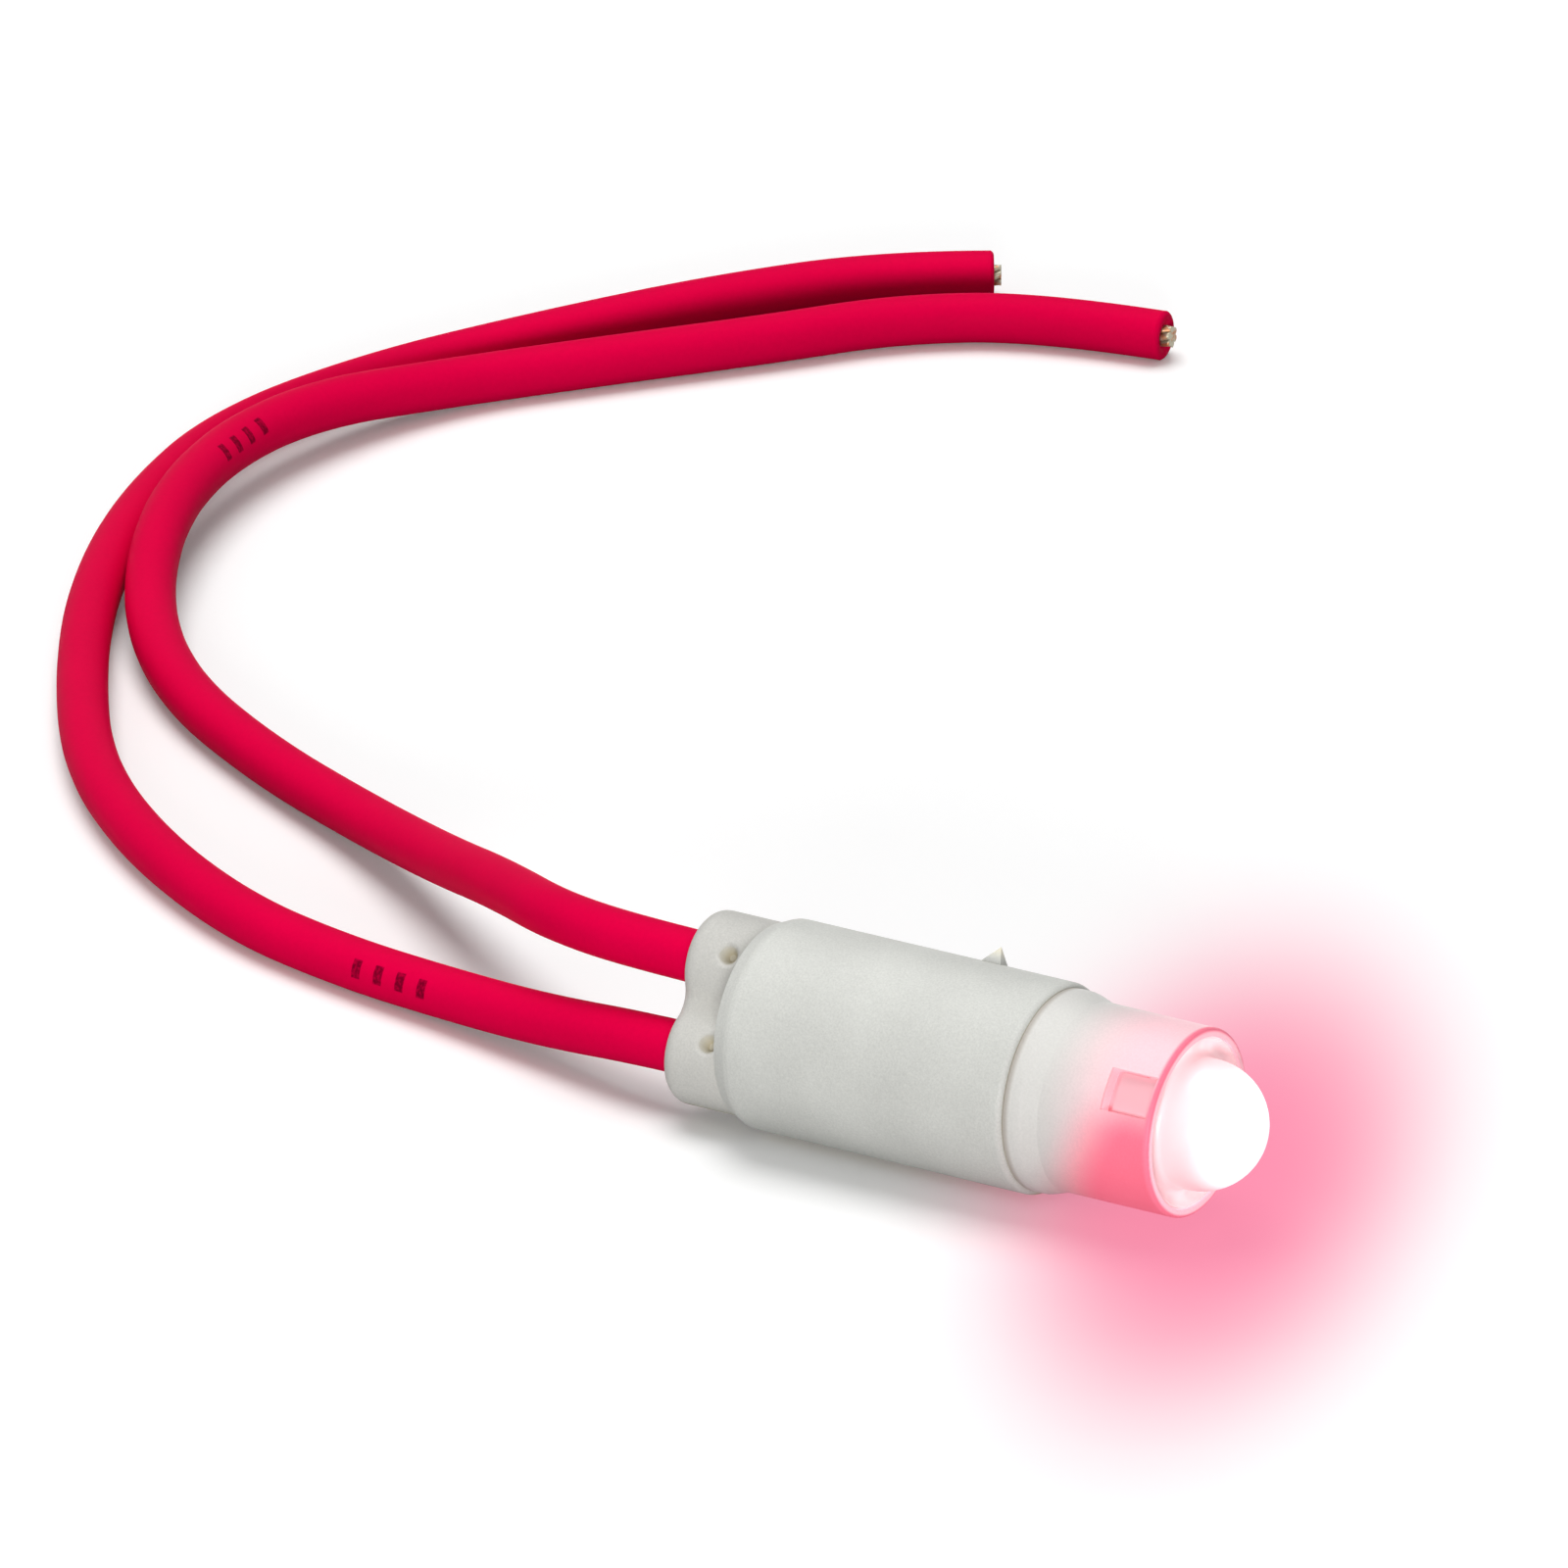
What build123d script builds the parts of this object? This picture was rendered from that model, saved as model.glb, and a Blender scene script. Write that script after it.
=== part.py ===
from build123d import *
import math
import os

os.makedirs("parts", exist_ok=True)

# A small mains indicator lamp that lies on a table with its two leads. Millimetres, +Z up, front along +X.
# The lamp is drawn about its own axis, X, from the sleeve's rear end, then rolled and set on the table.

# Moulded sleeve
sleeve_radius = 5.6
sleeve_length = 17.5
sleeve_wall = 0.9
sleeve_rear_slope_length = 0.9  # the soft bevel round the rear end, along the axis
sleeve_rear_slope_depth = 0.4
sleeve_lip_round = 0.35  # the front lip's rounding
barb_from_front = 5.0  # the barb's tip, back from the front lip
barb_height = 0.9
barb_width = 0.8
barb_rear_run = 0.75  # its long slope
barb_front_run = 0.4  # its steep slope
lead_tilt = 25.4  # how far the lamp is rolled as it lies, in degrees

# Fits
push_fit = 0.03  # a plug in its bore, on the radius
slip_fit = 0.05  # a lead in its hole or a wire in its hole, on the radius
seat_gap = 0.02  # between a wire and the board under it

# Leads
lead_diameter = 2.8
conductor_diameter = 1.25
lead_offset = 2.35  # each lead from the lamp's axis
lead_tip_length = 0.5  # tinned wire beyond the cut insulation
stripped_length = 2.9  # bare wire inside the lamp

# Two-lobed rear cap
cap_length = 4.26
cap_wall = 1.35  # round a lead
cap_waist_round = 1.05  # the hollow between the lobes
cap_edge_round = 0.85
cap_plug_length = 1.5  # the round plug in the sleeve
pit_from_sleeve = 1.6
pit_turn = 11.0  # up round its lobe from the square of the lead plane, in degrees
pit_diameter = 1.2
pit_floor_diameter = 0.4
pit_depth = 0.7
pit_lip_round = 0.25

# Translucent front collar
collar_reach = 8.5  # beyond the sleeve
collar_radius = 5.0
collar_wall = 0.9
collar_plug_length = 2.0
collar_plug_wall = 0.8
shoulder_set_in = 0.25  # the shoulder below the sleeve's outside
shoulder_length = 0.8
shoulder_slope_length = 1.1
shoulder_round = 0.08
rim_wall = 0.45
rim_round = 0.2
rim_seat_depth = 1.2  # the wider seat for the lens's flange
lens_ledge_from_sleeve = 1.9  # where the lens's skirt stands

# Lens insert with its dome
dome_radius = 3.45
dome_forward = 0.28  # the dome's centre ahead of the rim
lens_set_back = 0.12  # the lens's rim behind the collar's
bowl_rim_width = 0.1
latch_angle = 8.5  # the windows from the square of the lead plane, in degrees
window_length = 2.7
window_width = 2.25
window_from_rim = 0.33
latch_side_gap = 0.07
latch_rear_gap = 0.5
latch_depth = 0.38  # the latch's face below the collar

# Round LED
led_radius = 2.5
led_flange_radius = 2.9
led_flange_length = 1.0
led_length = 8.6  # flange to tip
led_gap = 0.1  # round the LED in the lens
led_skirt_depth = 1.4  # the lens's wider mouth behind the LED's flange
led_wire_diameter = 0.5
led_wire_pitch = 2.54
led_wire_joggle_start = 1.4  # its step down to the board, from the board's front end
led_wire_joggle_end = 3.2
led_post_top = 4.6  # the posts inside the LED, from its base
led_cup_radius = 0.65
led_cup_depth = 0.3
led_cup_height = 1.0
led_cup_lip = 0.12
led_cup_floor_radius = 0.3
led_chip_size = 0.3
led_chip_height = 0.15
led_anode_head = 0.45  # the anode's flat head, half its width

# Circuit board
board_length = 13.0
board_edge_gap = 0.17  # from the board's far corners to the bore, across
board_thickness = 0.8
board_from_rear = 2.2
rib_reach = 0.9  # the guide ribs stand in from the bore
rib_thickness = 0.5
rib_gap = 0.1
rib_start = 1.7
joint_height = 0.55  # solder round a wire
joint_spread = 0.35
joint_lip = 0.06  # its thickness at the top
pad_joint_length = 1.2  # solder along a wire that lies on the board
pad_edge = 0.2  # from the board's end to that solder

# Components on the board. Along is from the board's middle, across is towards the upper lead.
component_lift = 0.05
component_gap = 0.1  # between the two bodies that lie side by side
wire_stub = 0.65  # wire beyond the board
wire_bend = 0.45
resistor_diameter = 2.3
resistor_length = 5.8
resistor_waist = 0.2  # the body's middle is that much slimmer
resistor_end_cap = 1.2
resistor_edge = 0.25
resistor_wire = 0.55
resistor_pitch = 7.6
resistor_along = -0.2
resistor_across = -1.35
rectifier_diameter = 2.7
rectifier_length = 5.2
rectifier_edge = 0.3
rectifier_wire = 0.75
rectifier_pitch = 7.2
rectifier_along = 0.0
glass_diameter = 1.9
glass_length = 4.0
glass_edge = 0.5
glass_wire = 0.5
glass_pitch = 7.6
glass_along = 0.0
glass_across = 0.0

# Worked out from the sizes above
bore_radius = sleeve_radius - sleeve_wall
shoulder_radius = sleeve_radius - shoulder_set_in
lobe_radius = lead_diameter / 2 + slip_fit + cap_wall
rim_x = sleeve_length + collar_reach
dome_x = rim_x + dome_forward
apex_x = dome_x + dome_radius
middle_x = (apex_x - cap_length) / 2
insulation_end = cap_plug_length - 0.3
board_face = conductor_diameter / 2 + seat_gap  # the board's near face from the lamp's axis
board_back = board_face + board_thickness
board_half = math.sqrt(bore_radius**2 - board_back**2) - board_edge_gap
board_middle = board_from_rear + board_length / 2
rectifier_across = resistor_across + (resistor_diameter + rectifier_diameter) / 2 + component_gap
ledge_x = sleeve_length + lens_ledge_from_sleeve
seat_x = rim_x - rim_seat_depth
collar_bore = collar_radius - collar_wall
rim_bore = collar_radius - rim_wall
led_base_x = ledge_x + led_skirt_depth - led_flange_length
led_tip_x = led_base_x + led_length
near = 1e-3
from_base = (Align.CENTER, Align.CENTER, Align.MIN)


def on_table(shape):
    """The lamp's own frame, rolled about its axis and set on the table at its middle."""
    return Pos(-middle_x, 0, sleeve_radius) * Rot(-lead_tilt, 0, 0) * shape


def turned(*outline):
    """A body turned about the lamp's axis from an outline of (along, radius)."""
    return revolve(make_face(Polyline(*outline, close=True)), axis=Axis.X)


def bar(radius, start, end, y=0.0, z=0.0):
    """A round bar along the lamp's axis."""
    round_face = Plane(origin=(start, y, z), z_dir=(1, 0, 0)) * Circle(radius)
    return extrude(round_face, end - start)


def block(x_range, y_range, z_range):
    sides = [high - low for low, high in (x_range, y_range, z_range)]
    centre = [(high + low) / 2 for low, high in (x_range, y_range, z_range)]
    return Pos(*centre) * Box(*sides)


def ring_edges(body, along, radius):
    """The whole-circle edges of a turned body at a place along its axis."""
    circles = body.edges().filter_by(GeomType.CIRCLE)
    return [e for e in circles if abs(e.radius - radius) < near and abs(e.arc_center.X - along) < near]


def bent_wire(diameter, bend, *points):
    path = FilletPolyline(*points, radius=bend)
    section = Plane(origin=path @ 0, z_dir=path % 0) * Circle(diameter / 2)
    return sweep(section, path=path)


def make_sleeve():
    body = turned(
        (0, bore_radius),
        (0, sleeve_radius - sleeve_rear_slope_depth),
        (sleeve_rear_slope_length, sleeve_radius),
        (sleeve_length, sleeve_radius),
        (sleeve_length, bore_radius),
    )
    body = fillet(ring_edges(body, sleeve_length, sleeve_radius), sleeve_lip_round)
    body = fillet(ring_edges(body, sleeve_rear_slope_length, sleeve_radius), sleeve_rear_slope_length)
    return body + make_barb() + make_guide_ribs()


def make_barb():
    """A pointed barb on top, steep towards the front, rooted in the sleeve's wall."""
    tip = sleeve_length - barb_from_front
    root = sleeve_radius - sleeve_wall / 2
    top = sleeve_radius + barb_height
    rear, front, half = tip - barb_rear_run, tip + barb_front_run, barb_width / 2
    side = Polyline(
        (rear, root), (rear, sleeve_radius), (tip, top), (front, sleeve_radius), (front, root), close=True
    )
    end = Polyline((-half, root), (-half, sleeve_radius), (0, top), (half, sleeve_radius), (half, root), close=True)
    end_face = Plane(origin=(rear, 0, 0), x_dir=(0, 1, 0), z_dir=(1, 0, 0)) * make_face(end)
    return extrude(Plane.XZ * make_face(side), half, both=True) & extrude(end_face, front - rear)


def make_guide_ribs():
    """Two pairs of ribs in the bore that hold the board's long edges."""
    inner = bore_radius - rib_reach
    outer = bore_radius + sleeve_wall / 2
    length = (rib_start, board_from_rear + board_length)
    low = (board_face - rib_gap - rib_thickness, board_face - rib_gap)
    high = (board_back + rib_gap, board_back + rib_gap + rib_thickness)
    ribs = [block(length, y, z) for y in (low, high) for z in ((inner, outer), (-outer, -inner))]
    inside = bar(outer, *length)
    return Part() + [rib & inside for rib in ribs]


def cap_outline():
    """A figure of eight: two lobes and two hollow arcs that run into both."""
    reach = lobe_radius + cap_waist_round
    hollow = math.sqrt(reach**2 - lead_offset**2)  # the hollow arcs' centres
    share = lobe_radius / reach
    side, height = hollow * share, lead_offset * (1 - share)  # where an arc meets a lobe
    waist, top = hollow - cap_waist_round, lead_offset + lobe_radius
    return make_face([
        ThreePointArc((side, height), (waist, 0), (side, -height)),
        ThreePointArc((side, -height), (0, -top), (-side, -height)),
        ThreePointArc((-side, -height), (-waist, 0), (-side, height)),
        ThreePointArc((-side, height), (0, top), (side, height)),
    ])


def make_cap():
    """Two lobes joined by a waist, with a round plug in the sleeve and a hole for each lead."""
    body = extrude(Plane(origin=(0, 0, 0), x_dir=(0, 1, 0), z_dir=(-1, 0, 0)) * cap_outline(), cap_length)
    rear = body.faces().sort_by(Axis.X)[0]
    body = fillet(rear.edges(), cap_edge_round)
    body += bar(bore_radius - push_fit, 0, cap_plug_length)
    for side in (1, -1):
        hole = lead_diameter / 2 + slip_fit
        body -= bar(hole, -cap_length - 1, cap_plug_length + 1, z=side * lead_offset)
        place = pit_place(side)
        body -= place * make_pit()
        mouth = body.edges().sort_by_distance(place.offset(pit_depth).origin).filter_by(Edge.is_closed)[0]
        body = fillet(mouth, pit_lip_round)
    return body


def pit_place(side):
    """The floor of a lobe's staking pit, turned up round the lobe from the near side."""
    turn = math.radians(pit_turn)
    out = Vector(0, -math.cos(turn), math.sin(turn))
    centre = Vector(-pit_from_sleeve, 0, side * lead_offset)
    return Plane(origin=centre + out * (lobe_radius - pit_depth), z_dir=out)


def make_pit():
    """A conical staking pit, from its floor to twice its depth."""
    slope = (pit_diameter - pit_floor_diameter) / 2 / pit_depth
    mouth = pit_diameter / 2 + slope * pit_depth
    return Cone(pit_floor_diameter / 2, mouth, 2 * pit_depth, align=from_base)


def make_window(clearance, top, rear_gap=0.0):
    """The two opposite windows, or with a gap the two latches in them."""
    start = rim_x - window_from_rim - window_length + rear_gap
    end = rim_x - window_from_rim - clearance
    half = window_width / 2 - clearance
    tall = block((start, end), (-top, -collar_bore + collar_wall / 2), (-half, half))
    return [Rot(-latch_angle + turn, 0, 0) * tall for turn in (0, 180)]


def make_collar():
    """The frosted tube: plug, rounded shoulder, straight barrel, and a thin rim with the lens's seat."""
    plug_radius = bore_radius - push_fit
    slope_start = sleeve_length + shoulder_length
    body = turned(
        (sleeve_length - collar_plug_length, plug_radius - collar_plug_wall),
        (sleeve_length - collar_plug_length, plug_radius),
        (sleeve_length, plug_radius),
        (sleeve_length, shoulder_radius),
        (slope_start, shoulder_radius),
        (slope_start + shoulder_slope_length, collar_radius),
        (rim_x, collar_radius),
        (rim_x, rim_bore),
        (seat_x, rim_bore),
        (seat_x, collar_bore),
        (ledge_x, collar_bore),
        (ledge_x, plug_radius - collar_plug_wall),
    )
    body = fillet(ring_edges(body, sleeve_length, shoulder_radius), shoulder_round)
    body = fillet(ring_edges(body, slope_start, shoulder_radius), shoulder_slope_length)
    body = fillet(ring_edges(body, rim_x, collar_radius), rim_round)
    return body - make_window(0, collar_radius + 1)


def make_lens():
    """Skirt, flange, round bowl and dome in one moulding, hollow for the LED, with two latches."""
    rim = rim_x - lens_set_back
    flange_radius = rim_bore - push_fit
    skirt_radius = collar_bore - push_fit
    bowl_outer = flange_radius - bowl_rim_width
    bowl_inner = math.sqrt(dome_radius**2 - (dome_x - rim) ** 2)
    bowl_middle = (bowl_outer + bowl_inner) / 2
    bowl_radius = (bowl_outer - bowl_inner) / 2
    hollow = led_radius + led_gap
    hollow_x = led_tip_x - led_radius
    mouth_x = ledge_x + led_skirt_depth
    mouth_radius = led_flange_radius + led_gap
    bow = math.sqrt(0.5)
    lines = Polyline(
        (hollow_x, hollow),
        (mouth_x, hollow),
        (mouth_x, mouth_radius),
        (ledge_x, mouth_radius),
        (ledge_x, skirt_radius),
        (seat_x, skirt_radius),
        (seat_x, flange_radius),
        (rim, flange_radius),
        (rim, bowl_outer),
    )
    bowl_floor = (rim - bowl_radius, bowl_middle)
    bowl = ThreePointArc((rim, bowl_outer), bowl_floor, (rim, bowl_inner))
    top = math.atan2(bowl_inner, rim - dome_x) / 2
    on_dome = (dome_x + dome_radius * math.cos(top), dome_radius * math.sin(top))
    dome = ThreePointArc((rim, bowl_inner), on_dome, (apex_x, 0))
    tip = Line((apex_x, 0), (hollow_x + hollow, 0))
    on_hollow = (hollow_x + hollow * bow, hollow * bow)
    inside = ThreePointArc((hollow_x + hollow, 0), on_hollow, (hollow_x, hollow))
    body = revolve(make_face([*lines.edges(), bowl, dome, tip, inside]), axis=Axis.X)
    latch_top = collar_radius - latch_depth
    shell = bar(latch_top, ledge_x, rim)
    latches = make_window(latch_side_gap, collar_radius, latch_rear_gap)
    return body + [latch & shell for latch in latches]


def led_wire_points(side):
    """An LED wire from inside the LED back to the board's near face."""
    across = side * led_wire_pitch / 2
    board_front = board_from_rear + board_length
    lying = board_face - led_wire_diameter / 2
    return [
        (led_base_x + led_post_top - led_cup_depth, 0, across),
        (board_front + led_wire_joggle_end, 0, across),
        (board_front + led_wire_joggle_start, lying, across),
        (board_front - pad_edge - pad_joint_length, lying, across),
    ]


def make_led_wires():
    """The anode with its flat head, and the cathode with the reflector cup."""
    anode = bent_wire(led_wire_diameter, wire_bend, *led_wire_points(1))
    cathode = bent_wire(led_wire_diameter, wire_bend, *led_wire_points(-1))
    top = led_base_x + led_post_top
    shelf = (top - led_cup_height, top - led_cup_depth)
    half = led_wire_diameter / 2
    anode_in = led_wire_pitch / 2 - led_anode_head
    anode += block(shelf, (-half, half), (anode_in, led_wire_pitch / 2 + half))
    cathode += block(shelf, (-half, half), (-led_wire_pitch / 2 - half, -led_cup_floor_radius))
    cup = turned(
        (top - led_cup_height, 0),
        (top - led_cup_height, led_cup_radius - led_cup_lip),
        (top, led_cup_radius),
        (top, led_cup_radius - led_cup_lip),
        (top - led_cup_depth, led_cup_floor_radius),
        (top - led_cup_depth, 0),
    )
    return anode, cathode + cup


def make_led(wires, chip):
    """Epoxy body with its flange, moulded round the posts."""
    body = bar(led_radius, led_base_x, led_tip_x - led_radius)
    body += Pos(led_tip_x - led_radius, 0, 0) * Sphere(led_radius)
    body += bar(led_flange_radius, led_base_x, led_base_x + led_flange_length)
    beyond = 2 * led_flange_radius
    flange = (led_base_x - 1, led_base_x + led_flange_length)
    flat = block(flange, (-beyond, beyond), (-beyond, -led_radius))  # the cathode side's flat
    return body - flat - wires - chip


def make_chip():
    floor = led_base_x + led_post_top - led_cup_depth
    half = led_chip_size / 2
    return block((floor, floor + led_chip_height), (-half, half), (-half, half))


def component_holes():
    """Each wire hole in the board: (along, across, wire diameter, 1 where the body is on the near face)."""
    kinds = [
        (resistor_along, resistor_across, resistor_pitch, resistor_wire, 1),
        (rectifier_along, rectifier_across, rectifier_pitch, rectifier_wire, 1),
        (glass_along, glass_across, glass_pitch, glass_wire, -1),
    ]
    return [
        (board_middle + along + end * pitch / 2, across, wire, face)
        for along, across, pitch, wire, face in kinds
        for end in (-1, 1)
    ]


def across_board(radius, along, across, start, end):
    """A round bar through the board."""
    return extrude(Plane(origin=(along, start, across), z_dir=(0, 1, 0)) * Circle(radius), end - start)


def make_board():
    ends = (board_from_rear, board_from_rear + board_length)
    body = block(ends, (board_face, board_back), (-board_half, board_half))
    for along, across, wire, _ in component_holes():
        body -= across_board(wire / 2 + slip_fit, along, across, board_face - 1, board_back + 1)
    return body


def component(place, face, body_size, wire_size, outline):
    """A body turned from its outline and its two bent wires, set on one face of the board."""
    along, across = board_middle + place[0], place[1]
    length, diameter = body_size
    wire, pitch = wire_size
    lift = diameter / 2 + component_lift
    height = board_face - lift if face > 0 else board_back + lift
    through = board_back + wire_stub if face > 0 else board_face - wire_stub
    body = Pos(along, height, across) * turned(*outline)
    wires = [
        bent_wire(
            wire,
            wire_bend,
            (along + end * length / 2, height, across),
            (along + end * pitch / 2, height, across),
            (along + end * pitch / 2, through, across),
        )
        for end in (-1, 1)
    ]
    return body, Part() + wires


def make_resistor():
    """A dog-bone body: full end caps and a slimmer middle."""
    half, radius = resistor_length / 2, resistor_diameter / 2
    step = half - resistor_end_cap
    rear = [
        (-half, 0),
        (-half, radius - resistor_edge),
        (-half + resistor_edge, radius),
        (-step, radius),
        (-step + 2 * resistor_waist, radius - resistor_waist),
    ]
    place, body_size = (resistor_along, resistor_across), (resistor_length, resistor_diameter)
    outline = rear + [(-x, r) for x, r in reversed(rear)]
    return component(place, 1, body_size, (resistor_wire, resistor_pitch), outline)


def straight_body(length, diameter, edge):
    half, radius = length / 2, diameter / 2
    rear = [(-half, 0), (-half, radius - edge), (-half + edge, radius)]
    return rear + [(-x, r) for x, r in reversed(rear)]


def make_rectifier():
    place, body_size = (rectifier_along, rectifier_across), (rectifier_length, rectifier_diameter)
    outline = straight_body(*body_size, rectifier_edge)
    return component(place, 1, body_size, (rectifier_wire, rectifier_pitch), outline)


def make_glass_diode():
    place, body_size = (glass_along, glass_across), (glass_length, glass_diameter)
    outline = straight_body(*body_size, glass_edge)
    return component(place, -1, body_size, (glass_wire, glass_pitch), outline)


def make_joints():
    """A small cone of solder round each wire, and a low heap along each wire that lies on the board."""
    joints = []
    for along, across, wire, face in component_holes():
        start = board_back if face > 0 else board_face
        direction = (0, 1, 0) if face > 0 else (0, -1, 0)
        cone = Cone(wire / 2 + joint_spread, wire / 2 + joint_lip, joint_height, align=from_base)
        cone = Plane(origin=(along, start, across), z_dir=direction) * cone
        joints.append(cone - across_board(wire / 2, along, across, board_face - 1, board_back + 1))
    for side in (1, -1):
        joints.append(make_heap(conductor_diameter, 0.0, board_from_rear + pad_edge, side * lead_offset))
        led_start = board_from_rear + board_length - pad_joint_length - pad_edge
        lying = board_face - led_wire_diameter / 2
        joints.append(make_heap(led_wire_diameter, lying, led_start, side * led_wire_pitch / 2))
    return Part() + joints


def make_heap(wire, height, start, across):
    """Solder on both sides of a wire that lies along the board."""
    foot, top = wire / 2 + joint_spread, wire / 2 + joint_lip
    outline = Polyline(
        (board_face, across - foot),
        (board_face, across + foot),
        (height, across + top),
        (height, across - top),
        close=True,
    )
    face = Plane(origin=(start, 0, 0), x_dir=(0, 1, 0), z_dir=(1, 0, 0)) * make_face(outline)
    body = extrude(face, pad_joint_length)
    return body - bar(wire / 2, start - 1, start + pad_joint_length + 1, height, across)


# The leads' routes on the table, from inside the cap to the cut ends, in the table's frame.
tilt = math.radians(lead_tilt)
upper_exit = (lead_offset * math.sin(tilt), sleeve_radius + lead_offset * math.cos(tilt))
lower_exit = (-lead_offset * math.sin(tilt), sleeve_radius - lead_offset * math.cos(tilt))
rest = lead_diameter / 2  # a lead's centre when it lies on the table
upper_route = [
    (insulation_end - middle_x, *upper_exit),
    (-19.1, *upper_exit),
    (-26.7, 2.6, 7.3),
    (-34.6, 8.6, 5.6),
    (-41.6, 14.1, 3.5),
    (-50.6, 20.3, 1.8),
    (-60.1, 25.3, rest),
    (-69.6, 31.4, rest),
    (-76.9, 39.3, 1.8),
    (-82.0, 48.7, 3.0),
    (-84.9, 58.8, 3.0),
    (-84.9, 68.3, 2.6),
    (-81.9, 77.8, rest),
    (-76.4, 85.2, rest),
    (-70.4, 92.9, rest),
    (-65.9, 99.4, rest),
    (-59.4, 103.9, rest),
    (-52.0, 105.0, rest),
]
lower_route = [
    (insulation_end - middle_x, *lower_exit),
    (-19.1, *lower_exit),
    (-26.8, 0.9, 2.2),
    (-33.8, 2.5, 1.6),
    (-41.2, 3.8, rest),
    (-49.4, 6.1, rest),
    (-59.2, 12.0, rest),
    (-67.9, 19.9, rest),
    (-75.6, 30.9, rest),
    (-81.6, 41.4, rest),
    (-86.1, 52.6, rest),
    (-88.5, 64.6, rest),
    (-86.1, 76.3, rest),
    (-81.2, 87.2, rest),
    (-76.2, 96.6, rest),
    (-70.3, 104.7, rest),
    (-65.1, 108.0, rest),
]


def lead_path(route):
    """Straight runs joined by arcs, each as large as its two runs allow."""
    radii = []
    for before, at, after in zip(route, route[1:], route[2:]):
        first, second = Vector(at) - Vector(before), Vector(after) - Vector(at)
        half_turn = math.radians(first.get_angle(second)) / 2
        radii.append(0.45 * min(first.length, second.length) / math.tan(half_turn))
    print("lead radii", [round(r, 1) for r in radii])
    return FilletPolyline(*route, radius=radii)


def make_lead(route):
    path = lead_path(route)
    section = Plane(origin=path @ 0, z_dir=path % 0) * Circle(lead_diameter / 2)
    insulation = sweep(section, path=path)
    wanted = math.pi * (lead_diameter / 2) ** 2 * path.length
    print("lead length", round(path.length, 2), "volume share", round(insulation.volume / wanted, 5))
    wire = Circle(conductor_diameter / 2)
    tip = extrude(Plane(origin=path @ 1, z_dir=path % 1) * wire, lead_tip_length)
    stripped = extrude(Plane(origin=path @ 0, z_dir=-(path % 0)) * wire, stripped_length)
    return insulation, Part() + [tip, stripped]


def build():
    anode, cathode = make_led_wires()
    chip = make_chip()
    resistor, resistor_wires = make_resistor()
    rectifier, rectifier_wires = make_rectifier()
    glass, glass_wires = make_glass_diode()
    lamp = {
        "housing_sleeve": make_sleeve(),
        "rear_cap": make_cap(),
        "front_collar": make_collar(),
        "lens_insert": make_lens(),
        "led_body": make_led([anode, cathode], chip),
        "led_anode_lead": anode,
        "led_cathode_lead": cathode,
        "led_chip": chip,
        "circuit_board": make_board(),
        "resistor_body": resistor,
        "resistor_leads": resistor_wires,
        "rectifier_body": rectifier,
        "rectifier_leads": rectifier_wires,
        "glass_diode_body": glass,
        "glass_diode_leads": glass_wires,
        "solder_joints": make_joints(),
    }
    pieces = {name: on_table(shape) for name, shape in lamp.items()}
    for name, route in (("upper_lead", upper_route), ("lower_lead", lower_route)):
        pieces[name + "_insulation"], pieces[name + "_conductor"] = make_lead(route)
    return pieces


for name, shape in build().items():
    export_step(shape, "parts/" + name + ".step")
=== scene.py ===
import math

import bmesh
import bpy
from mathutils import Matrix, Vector


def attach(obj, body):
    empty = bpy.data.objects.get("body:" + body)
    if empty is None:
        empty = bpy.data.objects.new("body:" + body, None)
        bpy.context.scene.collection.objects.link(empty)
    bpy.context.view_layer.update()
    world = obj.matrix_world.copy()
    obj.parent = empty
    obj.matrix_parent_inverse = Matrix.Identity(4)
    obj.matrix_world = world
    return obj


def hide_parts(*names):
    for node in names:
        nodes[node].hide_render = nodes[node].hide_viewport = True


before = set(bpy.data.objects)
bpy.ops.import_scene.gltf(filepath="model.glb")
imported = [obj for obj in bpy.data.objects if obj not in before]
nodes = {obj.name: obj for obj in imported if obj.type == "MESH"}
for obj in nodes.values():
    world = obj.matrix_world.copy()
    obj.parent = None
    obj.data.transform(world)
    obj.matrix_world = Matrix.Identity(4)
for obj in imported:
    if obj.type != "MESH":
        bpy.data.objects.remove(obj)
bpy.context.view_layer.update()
print("frame loaded with", len(nodes), "nodes")

mm = 0.001

# The lamp's axis and its main edges in the row frame
lamp = {
    "axisHeight": 5.6 * mm,
    "middle": 12.735 * mm,  # from the sleeve's rear end
    "sleeveFront": (17.5 - 12.735) * mm,
    "rim": (26.0 - 12.735) * mm,
}


# A colour as the screen shows it, 0 to 255, in the linear values that shaders take
def linear(red, green, blue):
    shares = [value / 255 for value in (red, green, blue)]
    return [s / 12.92 if s <= 0.04045 else ((s + 0.055) / 1.055) ** 2.4 for s in shares] + [1.0]


# Node building

def addNode(tree, kind, label, **values):
    node = tree.nodes.new(kind)
    node.label = label
    for name, value in values.items():
        setattr(node, name, value)
    return node


def join(tree, source, target):
    tree.links.new(source, target)


# Links an output to a socket, or writes a plain value on it
def feed(tree, socket, value):
    if isinstance(value, bpy.types.NodeSocket):
        join(tree, value, socket)
    else:
        socket.default_value = value


def maths(tree, label, operation, first, second=0.0, clamp=False):
    node = addNode(tree, "ShaderNodeMath", label, operation=operation, use_clamp=clamp)
    feed(tree, node.inputs[0], first)
    feed(tree, node.inputs[1], second)
    return node.outputs[0]


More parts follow.
